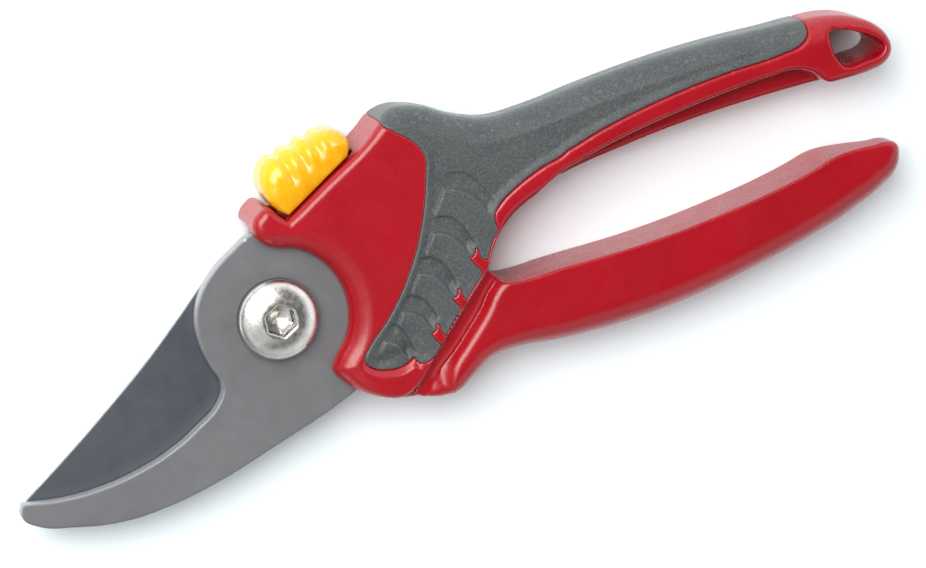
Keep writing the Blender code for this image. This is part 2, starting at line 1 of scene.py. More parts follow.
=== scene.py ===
"""Looks of the bypass pruner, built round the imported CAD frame.

Everything is in the frame's own coordinates: +X to the handle ends, +Y to the thumb slider, +Z out
of the face with the bolt head, origin on the pivot axis. Shapes are in millimetres until a mesh is
made. The moulded and stamped pieces are solids described by distance fields: outlines extruded,
rounded, joined and cut, then turned into smooth meshes. The turned pieces are rings of points.
"""

import math

import bpy
import numpy as np
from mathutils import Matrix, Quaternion, Vector


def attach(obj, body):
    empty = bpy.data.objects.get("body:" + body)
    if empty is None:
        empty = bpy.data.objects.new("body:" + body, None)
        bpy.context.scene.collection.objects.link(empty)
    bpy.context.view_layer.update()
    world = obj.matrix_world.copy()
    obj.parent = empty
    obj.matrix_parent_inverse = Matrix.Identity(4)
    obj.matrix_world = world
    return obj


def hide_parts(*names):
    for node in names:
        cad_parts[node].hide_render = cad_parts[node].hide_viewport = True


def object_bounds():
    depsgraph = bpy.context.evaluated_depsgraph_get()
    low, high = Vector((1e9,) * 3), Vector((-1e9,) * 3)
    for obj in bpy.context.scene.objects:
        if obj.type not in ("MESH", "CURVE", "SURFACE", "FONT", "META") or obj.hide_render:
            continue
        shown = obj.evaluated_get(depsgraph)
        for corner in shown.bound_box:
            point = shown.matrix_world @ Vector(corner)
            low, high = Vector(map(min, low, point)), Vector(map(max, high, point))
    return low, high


MM = 0.001
CELL = 0.3          # grid step of the moulded pieces
CORNER = "corner"                           # marks an outline point that stays sharp

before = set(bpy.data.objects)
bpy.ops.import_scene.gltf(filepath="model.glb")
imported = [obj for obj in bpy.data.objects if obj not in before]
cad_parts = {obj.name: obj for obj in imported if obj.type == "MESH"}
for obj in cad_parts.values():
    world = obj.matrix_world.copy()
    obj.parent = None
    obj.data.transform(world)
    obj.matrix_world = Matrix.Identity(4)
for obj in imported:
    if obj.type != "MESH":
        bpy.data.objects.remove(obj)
cad_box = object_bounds()

GAP = 0.3                                   # clearance between touching pieces
BELOW, ABOVE = -3, 20                       # where a cut that goes right through starts and ends

# Layers through the thickness, from the back to the face.
COVER_FRONT = 2.0
HEAD_BACK = 2.3
BLADE_BACK, BLADE_FRONT = 5.4, 8.85
HOOK_BACK, HOOK_FRONT = 9.15, 12.6
CHEEK_BACK = 12.9
FACE = 18.0
LOWER_BACK, LOWER_FACE = 0.3, 17.6
SHELF_FACE, SHELF_DROP = 15.7, 0.5          # the shelf, and the dip beyond its edge
ARCH_LEDGE = 12.0                           # the floor of the hollow under the upper handle
GRIP_DEPTH = 2.4                            # thickness of the soft layer
SEAM = 0.06                                 # gap between the soft layer and the moulding

# Pivot.
BOLT_HEAD_RADIUS, BOLT_HEAD_TOP = 8.75, 17.3
BOLT_FLAT_TOP = 4.0                         # radius of the flat round the socket
SHANK_RADIUS = 4.0
SHANK_END = 1.4
SOCKET_FLATS, SOCKET_DEPTH = 6.0, 3.8
NUT_FLATS, NUT_HEIGHT, NUT_FLOOR = 13.0, 3.8, 1.1
HEXAGON_TURN = math.radians(18)             # how far the socket and the nut are turned
BOSS_RADIUS = 14.5
BODY_ARC_RADIUS = 15.3
NUT_WAY_RADIUS = 8.8
BUSH_WAY_RADIUS = 5.7
HEEL_NOTCH, HEEL_NOTCH_RADIUS = (8.6, 17.2), 1.7    # where the lock holds the blade shut

# Lock channel.
CHANNEL_START = (12.6, 19.7)
CHANNEL_ANGLE = math.radians(20.0)
CATCH_WAY_LOW, CATCH_WAY_HIGH = 5.4, 8.9
GROOVE_LOW, GROOVE_HIGH = 4.6, 13
KEEL_LOW, KEEL_HIGH = 4.9, 12.7
SLIDER_LOW, SLIDER_HIGH = 2.2, 15.8
LOCK_PIN, LOCK_PIN_WAY = (4.4, -1.25), 0.75
LOCK_PIN_LOW, LOCK_PIN_TOP = 3, 11.4
RIDGE_PITCH, RIDGE_START, RIDGE_DEPTH = 3.9, 5.4, 0.85

# Screws and the return spring.
COVER_SCREWS = ((24.0, 14.0), (39.4, 5.4), (44.4, -4.2))
HOOK_SCREWS = ((35.2, 16.9), (54.2, 10.7))
BLADE_SCREWS = ((52.0, -21.6), (67.0, -25.4))
SCREW_WAY, SCREW_SEAT = 1.4, 2.5            # radii of the holes for shank and head
SPRING_LOW_END, SPRING_HIGH_END = (29.2, -5.2, 5.6), (31.7, 9.8, 5.6)
SPRING_WAY_RADIUS = 3.45

# Outlines. A third number is the radius of the front edge there.
HOOK_OUTLINE = [
    (60, 10.5), (57, 13.2), (45, 17.6), (30, 19.2), (18, 16.2), (10, 15.9), (3, 18.7), (-3, 17.2),
    (-8, 15.1), (-12.5, 11.9), (-15.6, 7.6), (-17, 2), (-16.9, -3.5), (-16.4, -8.2),
    (-18.6, -11.3), (-25, -14.2), (-32, -16.2), (-40, -17.1), (-48, -16.9), (-57, -15.3),
    (-65.4, -12.3, CORNER), (-66.6, -14.9), (-64.5, -18), (-57, -22), (-48, -25.3), (-38, -26.8),
    (-26, -26.8), (-12, -25.3), (8, -22.3), (17, -19.4), (25, -14.5), (33, -7), (42, 0.5),
    (52, 5.2), (58.5, 7.4),
]
BLADE_OUTLINE = [
    (74.5, -24.3), (70, -23), (56, -18.8), (47, -15.8), (38, -11.8), (30, -8), (23, -1.5),
    (18.2, 5), (14.6, 11.4), (10.6, 15.4), (5.5, 17.8), (1, 18), (-4, 16.3), (-9, 14.1), (-19, 8.4),
    (-29, 2.9), (-39, -1.9), (-49, -6.4), (-59, -10.6), (-64.6, -12.8, CORNER), (-60.5, -16.8),
    (-54, -20), (-46, -22.3), (-38, -23.4), (-30, -23.2), (-23, -21.2), (-17, -17.2),
    (-9, -14.9), (2, -15.3), (12, -16.2), (24, -18.2), (38, -22.2), (52, -25.6), (66, -28.4),
    (72, -29), (75.5, -27),
]
CUTTING_EDGE = BLADE_OUTLINE[19:27]
GROUND_WIDTH, EDGE_THICKNESS = 8.0, 0.45
HEAD_OUTLINE = [
    (12, 8), (8, 12.1), (0, 14.5), (-8, 12.1), (-12.6, 7.2), (-14.5, 0), (-12.6, -7.2), (-8, -12.1),
    (0, -15.5), (6, -19), (10.5, -23.6), (14.2, -26.9), (19, -29.5), (24, -30.6), (32, -29),
    (48, -24), (50, -19), (46, -16.6), (38, -12.9), (30, -9.2), (23, -3), (17, 3.5),
]
LOWER_OUTLINE = [
    (46.9, -13.8, 0.25, CORNER), (48.9, -14.7, 0.25), (60, -16.6, 0.25), (80, -19.9, 0.25),
    (100, -21.6, 0.25), (112, -21.9, 0.25), (119, -21.6, 0.25), (123.5, -21.1, 0.3),
    (128, -21.5, 0.5), (133.6, -22.7, 0.9), (136.8, -23.5, 1.4), (138.3, -24.9, 2.4),
    (138.2, -27.3, 3.6), (136.6, -30.1, 4.6), (132.8, -32.3, 5.6), (125, -34.5, 6.5),
    (115, -35.8, 6.5), (100, -36.5, 6.5), (85, -36.4, 6.5), (70, -34.9, 6.5), (55, -31.9, 6),
    (43, -28.5, 5), (38, -28.3, 4.5), (33, -30.1, 4), (28.4, -31.5, 3.5), (24, -30.4, 2),
    (21.5, -28.9, 1.2), (19.9, -27.3, 0.5, CORNER), (21.5, -25.9, 0.1), (23.5, -24.6, 0.1),
    (26.14, -22.62, 0.1), (45.14, -9.82, 0.1, CORNER),
]
SHELF_OUTLINE = [                           # the shelf's edge, then round behind the body
    (46.9, -12, CORNER), (45.3, -12.5), (42.3, -14.5), (40.3, -16.4), (35.3, -19.9), (30.3, -23),
    (27.3, -24.5), (25.1, -26.1), (22.4, -29, CORNER), (14, -30, CORNER), (14, -20, CORNER),
    (44, -4, CORNER),
]
SHELF_BEAD = SHELF_OUTLINE[1:8]
CAVITY_OUTLINE = [
    (48.6, -12.3), (38, -4.6), (30, 1.8), (22.5, 8), (17.8, 10.4), (14.6, 14.6), (10.3, 17.8),
    (5.3, 19.9), (0, 20.6), (-10, 22), (-25, 20), (-25, -45), (30, -45), (60, -22),
]
COVER_OUTLINE = [
    (4.9, 14.7), (3.7, 18.4), (5.6, 21.2), (9.4, 20.3), (14, 18.9), (20, 17.9), (25, 17.2),
    (29, 14.8), (34, 13.4), (39.6, 9.4), (44.5, 2.4), (47.2, -3.2), (46.2, -6.6),
    (44.2, -8.9, CORNER), (25.6, -21.5, CORNER), (22.8, -23.8), (19.8, -25.5), (17, -25.9),
    (13.6, -24.5), (10.2, -21.8), (7.6, -18), (6.9, -15), (8.2, -13),
]
BODY_TOP = [
    (36.4, 29.2, 2.2), (38.2, 30.1, 4.6), (40.4, 30.4, 6), (43.5, 29.4, 7), (47.5, 27, 7.5),
    (51.5, 23.5, 7.5), (54.8, 21.2, 7.5), (59, 19.1, 7.5), (66, 17.8, 7.5), (81, 16.7, 7.5),
    (95, 15.3, 7.5), (110, 12.9, 7.2), (122, 10.3, 6.8), (131, 8.4, 6), (136, 6.9, 4.8),
    (140.5, 4.5, 3.8), (143.9, 1.2, 3), (145.5, -2.6, 2.6), (145, -5.6, 2.6), (142.6, -7.3, 2.4),
    (139, -7.5, 2.3), (134, -6.8, 2.2), (126, -5.2, 2), (112, -2.8, 2), (98, -1, 2), (84, 0.1, 2),
    (70, 0.6, 2.2), (60, 0, 2.4), (53.5, -2, 2.2), (48.7, -5, 0.8), (44.9, -9.4, 0.15, CORNER),
    (26, -22.2, 0.15), (23.2, -24.4, 0.8), (20.2, -26.2, 1.3), (17, -26.6, 1.4), (13.6, -25.1, 1.8),
    (10, -22.2, 3), (7.4, -18.6, 4.9), (6.3, -15, 4.9),
]
LIP_RADIUS = 4.9
ARCH_OUTLINE = [
    (61.5, -1), (66, 1.8), (74, 2.9), (84, 3.3), (96, 3), (108, 2.2), (118, 1.1), (124.2, -0.2),
    (127.6, -3.2), (128.8, -8), (127.4, -12), (60, -8),
]
HANG_HOLE = [
    (133.8, 4.2), (136.6, 3.4), (139.6, 1.5), (142.4, -1.2), (143.6, -3.4), (142.6, -4.6),
    (138, -4.6), (134.4, -4.1), (133.4, -2.6), (133.2, 2.6),
]
GRIP_SCALES = [
    (36.6, 29.6), (38.4, 26.4), (41.2, 22.6), (42.2, 19), (40.4, 14.2), (36, 6.2), (29.8, -1.8),
    (21.5, -9.2), (14.8, -13.4), (12.8, -15.4), (13.6, -17.8), (16.6, -19.8), (20, -20.5),
    (22.8, -19.8, CORNER), (23.4, -21.4), (25.3, -21.9), (31.5, -17.9), (38, -13.4), (44.3, -9.1),
    (45.6, -7.6), (48.2, -4.5), (50.4, -2.7, CORNER), (50.7, 0.2), (52.4, 2), (57, 3.9), (64, 5.4),
    (71, 6.4), (74, 9), (60, 16), (48, 25), (40, 31),
]
GRIP_SLEEVE = [
    (36.6, 29.6), (38.4, 26.4), (41.6, 22.6), (46, 16), (51, 9.5), (56, 7), (62, 6.3), (70, 6.3),
    (80, 7.2), (95, 7.3), (110, 6.2), (122, 4.7), (127.4, 5), (129.6, 7), (128.8, 11), (120, 20),
    (60, 32), (35, 38), (34.6, 33),
]

# Scales on the grip. Each has a corner, a front line with a dipped band beside it, and a place.
# The third number on the front line is the width of the band there.
SCALE_FRONT = [(0, 0, 3.2), (2.2, -1.1, 3.8), (3.6, -2.7, 3.3), (4.6, -4.9, 2.6), (5.1, -7.5, 2.3),
               (5.7, -11, 2.2)]
SCALE_OUTLINE = [(-4, -4.7), (0, 0, CORNER), *SCALE_FRONT[1:], (6.3, -16), (0, -18), (-6, -9)]
SCALES = [                                  # corner, size, depth of the band
    (43.0, 10.5, 1.38, 0.4), (37.2, 3.0, 1.0, 1.1), (30.8, -3.6, 0.88, 1.1),
    (24.3, -9.7, 0.86, 1.0), (18.2, -13.6, 0.6, 0.7),
]
SCALE_RISE, SCALE_LENGTH = 0.75, 7.5
TOOTH_OUTLINE = [
    (42.5, -5.3), (43.1, -5.5), (43.8, -4.9), (44.4, -4.1), (44.65, -5.2), (44.6, -6.5),
    (45.2, -7.3), (47, -8.2), (46, -11.4), (43, -11.4), (43.5, -9.2), (42.9, -7.6), (42.5, -6.3),
]
TOOTH_PLACES = [(0, 0), (-6.9, -6.3), (-14.2, -11.2)]


# ---- Distance fields -------------------------------------------------------------------------

class Grid:
    """Sample points of a box, in millimetres. Plane fields have one layer, which spreads in z."""

    def __init__(self, low, high, cell):
        self.low, self.cell = np.array(low, np.float32), cell
        axes = [np.arange(a, b + cell, cell, dtype=np.float32) for a, b in zip(low, high)]
        self.x, self.y = (a[..., None] for a in np.meshgrid(axes[0], axes[1], indexing="ij"))
        self.z = axes[2][None, None, :]


def arc(radius, start, end, count, *values):
    """Points on a circle round the pivot, from one angle in degrees to another."""
    angles = (math.radians(start + (end - start) * i / (count - 1)) for i in range(count))
    return [(radius * math.cos(a), radius * math.sin(a), *values) for a in angles]


def channel_point(along, above, *values):
    """A point given along the slider's channel and above the top line of the body."""
    cos, sin = math.cos(CHANNEL_ANGLE), math.sin(CHANNEL_ANGLE)
    x, y = CHANNEL_START
    return (x + along * cos - above * sin, y + along * sin + above * cos, *values)


def channel_box(start, end, low, high):
    """Sharp corners of a box along the channel, from one height over its top line to another."""
    corners = [(start, low), (start, high), (end, high), (end, low)]
    return [channel_point(*corner, CORNER) for corner in corners]


def curve(points, closed, step):
    """Rows of x, y and value on a smooth curve through the points."""
    place = np.array([p[:2] for p in points], float)
    value = [next((v for v in p[2:] if v != CORNER), 0.0) for p in points]
    count = len(points)

    def handle(i, side):
        here, there = place[i], place[(i + side) % count]
        if CORNER in points[i] or (not closed and i in (0, count - 1)):
            return here + (there - here) / 3
        before, after = here - place[i - 1], place[(i + 1) % count] - here
        along = before / np.linalg.norm(before) + after / np.linalg.norm(after)
        reach = np.linalg.norm(there - here) / (2.56 * np.linalg.norm(along))
        return here + side * along * reach

    rows = []
    for i in range(count if closed else count - 1):
        j = (i + 1) % count
        knots = (place[i], handle(i, 1), handle(j, -1), place[j])
        parts = max(1, math.ceil(np.linalg.norm(place[j] - place[i]) / step))
        for t in np.arange(parts) / parts:
            weights = ((1 - t) ** 3, 3 * t * (1 - t) ** 2, 3 * t * t * (1 - t), t ** 3)
            x, y = sum(w * k for w, k in zip(weights, knots))
            rows.append((float(x), float(y), float(value[i] + t * (value[j] - value[i]))))
    if not closed:
        rows.append((*map(float, place[-1]), float(value[-1])))
    return rows


def distance(grid, points, closed=True, step=1.0):
    """Distance to a curve, negative inside a closed one, and its value at the nearest point."""
    rows = curve(points, closed, step)
    best = np.full(grid.x.shape, 1e9, np.float32)
    value = np.zeros(grid.x.shape, np.float32)
    inside = np.zeros(grid.x.shape, bool)
    for (ax, ay, av), (bx, by, bv) in zip(rows, rows[1:] + rows[:1] if closed else rows[1:]):
        dx, dy = bx - ax, by - ay
        px, py = grid.x - ax, grid.y - ay
        t = np.clip((px * dx + py * dy) / (dx * dx + dy * dy), 0, 1)
        away = (px - t * dx) ** 2 + (py - t * dy) ** 2
        nearer = away < best
        best = np.where(nearer, away, best)
        value = np.where(nearer, av + t * (bv - av), value)
        if closed:
            left = px * dy < dx * py if dy > 0 else px * dy > dx * py
            inside ^= ((ay > grid.y) != (by > grid.y)) & left
    best = np.sqrt(best)
    return np.where(inside, -best, best), value


def outline(grid, points, step=1.0):
    """Distance to a closed curve, negative inside."""
    return distance(grid, points, True, step)[0]


def meet(a, b, radius=0.0):
    """Where both solids are, with a round edge."""
    over_a, over_b = np.maximum(a + radius, 0), np.maximum(b + radius, 0)
    return np.minimum(np.maximum(a, b), -radius) + np.sqrt(over_a * over_a + over_b * over_b)


def cut(a, b, radius=0.0):
    """The first solid without the second, with a round edge."""
    return meet(a, -b, radius)


def join(a, b, radius=0.0):
    """Both solids, with a fillet."""
    return -meet(-a, -b, radius)


def prism(grid, flat, low, high, front=0.0, back=0.0):
    """A plane shape from one height to another, with round edges at the front and the back."""
    return np.maximum(meet(flat, grid.z - high, front), meet(flat, low - grid.z, back))


def upright(grid, place, radius, low, high):
    """A round hole or post."""
    flat = np.sqrt((grid.x - place[0]) ** 2 + (grid.y - place[1]) ** 2) - radius
    return np.maximum(flat, np.maximum(low - grid.z, grid.z - high))


def rod(grid, start, end, radius):
    """A cylinder with round ends between two points in space."""
    a, b = np.array(start, float), np.array(end, float)
    d = (b - a).tolist()
    p = (grid.x - a[0], grid.y - a[1], grid.z - a[2])
    t = np.clip(sum(u * v for u, v in zip(p, d)) / sum(v * v for v in d), 0, 1)
    return np.sqrt(sum((u - t * v) ** 2 for u, v in zip(p, d))) - radius


def ease(value, start, end):
    """0 before start, 1 after end, and a smooth change between them."""
    t = np.clip((value - start) / (end - start), 0, 1)
    return t * t * (3 - 2 * t)


def sampled(field, where):
    """The field between grid points, for rows of grid coordinates."""
    top = np.array(field.shape) - 2
    base = np.clip(np.floor(where).astype(np.int64), 0, top)
    part = where - base
    steps = (field.shape[1] * field.shape[2], field.shape[2], 1)
    start = (base * steps).sum(1)
    flat, total = field.ravel(), 0.0
    for corner in np.ndindex(2, 2, 2):
        weight = np.prod(np.where(corner, part, 1 - part), axis=1)
        total = total + weight * flat[start + np.dot(corner, steps)]
    return total


def skin(grid, field, rounds=3):
    """Points in millimetres, and quads, on the surface where the field is zero.

    One point in each cell that the surface crosses, then some rounds that even the points out and
    put them back on the surface.
    """
    inside = field < 0
    cells = tuple(n - 1 for n in field.shape)
    corners = list(np.ndindex(2, 2, 2))
    full = np.zeros(cells, np.int8)
    for c in corners:
        full += inside[tuple(slice(o, o + n) for o, n in zip(c, cells))]
    active = np.flatnonzero((full > 0) & (full < 8))
    base = np.stack(np.unravel_index(active, cells), 1)
    values = [field[tuple((base + c).T)] for c in corners]
    where, crossings = np.zeros(base.shape), np.zeros(len(base))
    for i, a in enumerate(corners):
        for j, b in enumerate(corners):
            if j <= i or sum(u != v for u, v in zip(a, b)) != 1:
                continue
            crossed = (values[i] < 0) != (values[j] < 0)
            t = np.where(crossed, values[i] / np.where(crossed, values[i] - values[j], 1), 0)
            where += crossed[:, None] * (np.array(a) + t[:, None] * np.subtract(b, a))
            crossings += crossed
    where = base + where / crossings[:, None]

    index = np.full(cells, -1, np.int32)
    index.ravel()[active] = np.arange(len(active))
    quads = []
    for axis in range(3):
        across, up = (axis + 1) % 3, (axis + 2) % 3
        near = [slice(1, -1)] * 3
        far = list(near)
        near[axis], far[axis] = slice(0, -1), slice(1, None)
        first, second = inside[tuple(near)], inside[tuple(far)]
        for leaving in (True, False):
            edge = np.stack(np.nonzero((first != second) & (first == leaving)), 1)
            edge[:, [across, up]] += 1
            ring = []
            for da, du in ((-1, -1), (0, -1), (0, 0), (-1, 0)):
                cell = edge.copy()
                cell[:, across] += da
                cell[:, up] += du
                ring.append(index[tuple(cell.T)])
            quads.append(np.stack(ring if leaving else ring[::-1], 1))
    quads = np.concatenate(quads)

    ends = np.concatenate([quads[:, [i, (i + 1) % 4]] for i in range(4)])
    degree = np.bincount(ends[:, 0], minlength=len(where))[:, None]
    for turn in range(rounds + 1):
        if turn:
            mean = np.stack(
                [np.bincount(ends[:, 0], where[ends[:, 1], k], len(where)) for k in range(3)], 1
            ) / degree
            where = where + 0.6 * (mean - where)
        for _ in range(2):
            slope = np.stack(
                [sampled(field, where + s) - sampled(field, where - s) for s in np.eye(3) * 0.5], 1
            )
            steep = np.maximum((slope ** 2).sum(1), 1e-6)
            reach = 0.5 / np.sqrt(steep)
            back = np.clip(sampled(field, where) / steep, -reach, reach)
            where = where - back[:, None] * slope
    return where * grid.cell + grid.low, quads


# ---- Pieces ----------------------------------------------------------------------------------

def mesh_piece(name, points, faces, finish, body, slot, *nodes):
    """A mesh of four-sided faces that rides on a body and stands for CAD nodes."""
    mesh = bpy.data.meshes.new(name)
    mesh.vertices.add(len(points))
    mesh.vertices.foreach_set("co", (np.asarray(points) * MM).astype(np.float32).ravel())
    mesh.loops.add(faces.size)
    mesh.loops.foreach_set("vertex_index", faces.astype(np.int32).ravel())
    mesh.polygons.add(len(faces))
    mesh.polygons.foreach_set("loop_start", np.arange(0, faces.size, 4, dtype=np.int32))
    mesh.update(calc_edges=True)
    mesh.validate()
    mesh.shade_smooth()
    mesh.materials.append(finish)
    obj = bpy.data.objects.new(name, mesh)
    bpy.context.scene.collection.objects.link(obj)
    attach(obj, body)
    if nodes:
        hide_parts(*nodes)
    return obj


def body_outline():
    """Outline of the upper handle: the arc round the pivot, the horn, the channel and the rest."""
    horn = [
        (2.9, 17.6, 2.8), (2.5, 19.6, 2.2), (3.3, 21.7, 2.2), (5, 22.9, 2.2), (7.2, 23.3, 2.2),
        channel_point(-3.1, 1.9, 1.9), channel_point(-2.6, 0, 1.6, CORNER),
    ]
    channel = [channel_point(along, 0, 1.8) for along in (0, 8, 21)]
    return arc(BODY_ARC_RADIUS, -60, 70, 8, LIP_RADIUS) + horn + channel + BODY_TOP


def moved(points, place, size=1):
    return [(place[0] + size * p[0], place[1] + size * p[1], *p[2:]) for p in points]


def scale_relief(grid):
    """How far the grip's face rises and falls: overlapping scales, a dipped band before each."""
    rise = np.zeros(grid.x.shape, np.float32)
    dip = np.zeros(grid.x.shape, np.float32)
    for x, y, size, depth in SCALES:
        inside = -outline(grid, moved(SCALE_OUTLINE, (x, y), size), 0.5)
        front, width = distance(grid, moved(SCALE_FRONT, (x, y), size), False, 0.5)
        fade = np.clip(1 - front / (SCALE_LENGTH * size), 0, 1)
        rise = np.maximum(rise, SCALE_RISE * ease(inside, -0.2, 0.2) * fade)
        band = ease(-inside, -0.1, 0.25) * ease(width - front, -0.1, 0.25)
        along = 0.87 * (grid.x - x) - 0.5 * (grid.y - y)
        slope = 0.3 + 0.7 * np.clip(front / np.maximum(width, 0.1), 0, 1)
        dip = np.maximum(dip, depth * band * slope * ease(along, -1.5, 2.5))
    return rise - dip


def handle_shapes():
    """The moulding and the soft grip of the upper handle, which share one outer shape."""
    grid = Grid((1.2, -28.2, -0.8), (146.6, 31.8, 18.8), CELL)
    flat, front = distance(grid, body_outline())
    back = 1 + (front - 1) * ease(grid.x, 30, 40)
    outer = np.maximum(meet(flat, grid.z - FACE, front), meet(flat, -grid.z, back))

    # The soft layer is a sleeve round the whole handle, and scales only on the face.
    sleeve = outline(grid, GRIP_SLEEVE)
    scales = outline(grid, GRIP_SCALES)
    teeth = np.minimum.reduce([outline(grid, moved(TOOTH_OUTLINE, p), 0.5) for p in TOOTH_PLACES])
    face_zone = np.maximum(np.minimum(scales, sleeve), -teeth)
    zone = join(np.maximum(face_zone, FACE - GRIP_DEPTH - grid.z), sleeve)
    lip = ease(-grid.y, 15, 18) * ease(-grid.x, -24, -22)      # the rounded end below the scales
    dish = 0.55 - scale_relief(grid) * ease(-flat, 0.2, 1.5)
    dish = dish * ease(-face_zone, 0.3, 2.2) + 0.25 * ease(grid.x, 55, 62) + 1.0 * lip
    grip_face = np.maximum(outer, (grid.z - FACE + dish) * 0.9)
    grip = cut(meet(grip_face, zone + SEAM, 0.15), outer + GRIP_DEPTH)

    rim = 0.12 + np.maximum(0.8 * ease(grid.x, 50, 53), 1.5 * lip)
    body = join(cut(outer, zone, rim), outer + GRIP_DEPTH + 0.15)
    body = np.maximum(body, 0.8 * (grid.z - FACE + 0.75 * lip * np.maximum(1.5 - face_zone, 0)))
    arch = np.maximum(outline(grid, ARCH_OUTLINE), ARCH_LEDGE - grid.z)
    body = cut(body, arch, 1.5)
    body = cut(body, outline(grid, HANG_HOLE, 0.5), 1.1)

    # The spaces inside it.
    body = cut(body, prism(grid, outline(grid, CAVITY_OUTLINE), BELOW, HOOK_BACK + 1), 0.25)
    hook_way = outline(grid, HOOK_OUTLINE) - GAP
    body = cut(body, prism(grid, hook_way, HOOK_BACK - GAP, CHEEK_BACK), 0.25)
    cover_way = outline(grid, COVER_OUTLINE) - GAP
    body = cut(body, prism(grid, cover_way, BELOW, COVER_FRONT + GAP), 0.2)
    groove = outline(grid, channel_box(-1.3, 17.4, -3.2, 6))
    body = cut(body, prism(grid, groove, GROOVE_LOW, GROOVE_HIGH), 0.2)
    catch_way = outline(grid, [
        channel_point(-2.4, -7.2, CORNER), channel_point(-1.4, 0, CORNER),
        channel_point(14, 0, CORNER), channel_point(14, -7.2, CORNER),
    ])
    body = np.maximum(body, -prism(grid, catch_way, CATCH_WAY_LOW, CATCH_WAY_HIGH))
    body = np.maximum(body, -rod(grid, SPRING_LOW_END, SPRING_HIGH_END, SPRING_WAY_RADIUS))
    for place in COVER_SCREWS:
        body = np.maximum(body, -upright(grid, place, SCREW_WAY, BELOW, 7.8))
    for place in HOOK_SCREWS:
        body = np.maximum(body, -upright(grid, place, SCREW_WAY, BELOW, 15))
        body = np.maximum(body, -upright(grid, place, SCREW_SEAT, BELOW, 4.4))
    return grid, body, grip


def lower_shape():
    """The lower handle, with the shelf beside the body and the flat head under the blade."""
    grid = Grid((-15.6, -37.4, -0.6), (140.4, 15.8, 18.6), CELL)
    flat, front = distance(grid, LOWER_OUTLINE)
    back = np.where(front < 1.4, 0.6, 1.5 + (front - 1.5) * ease(grid.x, 30, 46))
    back = np.maximum(back, 11 * ease(grid.x, 118, 136))
    # The face falls to a dip beyond the shelf's edge, and a bead runs along that edge.
    shelf_edge = outline(grid, SHELF_OUTLINE)
    floor = SHELF_FACE - SHELF_DROP * ease(grid.x, 24.5, 27.5)
    slope = 0.3 + 0.98 * ease(grid.x, 26, 32)
    rising = grid.z - floor - slope * np.maximum(shelf_edge - 0.4, -1)
    rising = rising / np.sqrt(1 + slope ** 2)
    top = meet(rising, grid.z - LOWER_FACE, 0.7)
    main = np.maximum(meet(flat, top, front), meet(flat, LOWER_BACK - grid.z, back))
    shelf = prism(grid, flat, LOWER_BACK, SHELF_FACE, 0.1, 0.6)
    shape = join(main, np.maximum(shelf, shelf_edge), 0.1)
    beside = distance(grid, SHELF_BEAD, closed=False)[0]
    bead = np.sqrt(beside ** 2 + (grid.z - SHELF_FACE + 0.2) ** 2) - 0.36
    shape = join(shape, bead, 0.15)

    head = prism(grid, outline(grid, HEAD_OUTLINE), HEAD_BACK, BLADE_FRONT, 1.4, 0.4)
    shape = join(shape, head, 0.4)
    boss = np.sqrt(grid.x ** 2 + grid.y ** 2) - BOSS_RADIUS
    shape = join(shape, prism(grid, boss, LOWER_BACK, HEAD_BACK + 1, 0, 0.5), 0.2)
    pocket = outline(grid, BLADE_OUTLINE) - 0.15
    shape = cut(shape, prism(grid, pocket, BLADE_BACK - 0.15, BLADE_FRONT + 0.15), 0.2)
    shape = cut(shape, upright(grid, (0, 0), NUT_WAY_RADIUS, BELOW, BLADE_BACK), 0.3)
    for place in BLADE_SCREWS:
        shape = np.maximum(shape, -upright(grid, place, SCREW_WAY, BELOW, 13))
        shape = np.maximum(shape, -upright(grid, place, SCREW_SEAT, BELOW, 2.6))
    return grid, shape


def hook_shape():
    grid = Grid((-68, -28.4, HOOK_BACK - 0.9), (61.6, 20.8, HOOK_FRONT + 0.9), 0.9 * CELL)
    flat = outline(grid, HOOK_OUTLINE)
    shape = prism(grid, flat, HOOK_BACK, HOOK_FRONT, 0.35, 0.3)
    shape = np.maximum(shape, -upright(grid, (0, 0), SHANK_RADIUS + 0.2, 0, ABOVE))
    for place in HOOK_SCREWS:
        shape = np.maximum(shape, -upright(grid, place, SCREW_WAY, 0, ABOVE))
    return grid, shape


def blade_shape():
    """A flat front, and a back ground away towards the cutting edge."""
    grid = Grid((-66, -30.4, BLADE_BACK - 0.9), (77, 19.6, BLADE_FRONT + 0.9), 0.9 * CELL)
    flat = outline(grid, BLADE_OUTLINE)
    edge = distance(grid, CUTTING_EDGE, closed=False)[0]
    slope = (BLADE_FRONT - BLADE_BACK - EDGE_THICKNESS) / GROUND_WIDTH
    back = BLADE_BACK + slope * np.maximum(GROUND_WIDTH - edge, 0)
    shape = np.maximum(meet(flat, grid.z - BLADE_FRONT, 0.2), meet(flat, back - grid.z, 0.2))
    shape = np.maximum(shape, -upright(grid, (0, 0), BUSH_WAY_RADIUS, 0, ABOVE))
    shape = np.maximum(shape, -upright(grid, HEEL_NOTCH, HEEL_NOTCH_RADIUS, 0, ABOVE))
    for place in BLADE_SCREWS:
        shape = np.maximum(shape, -upright(grid, place, SCREW_WAY, 0, ABOVE))
    return grid, shape


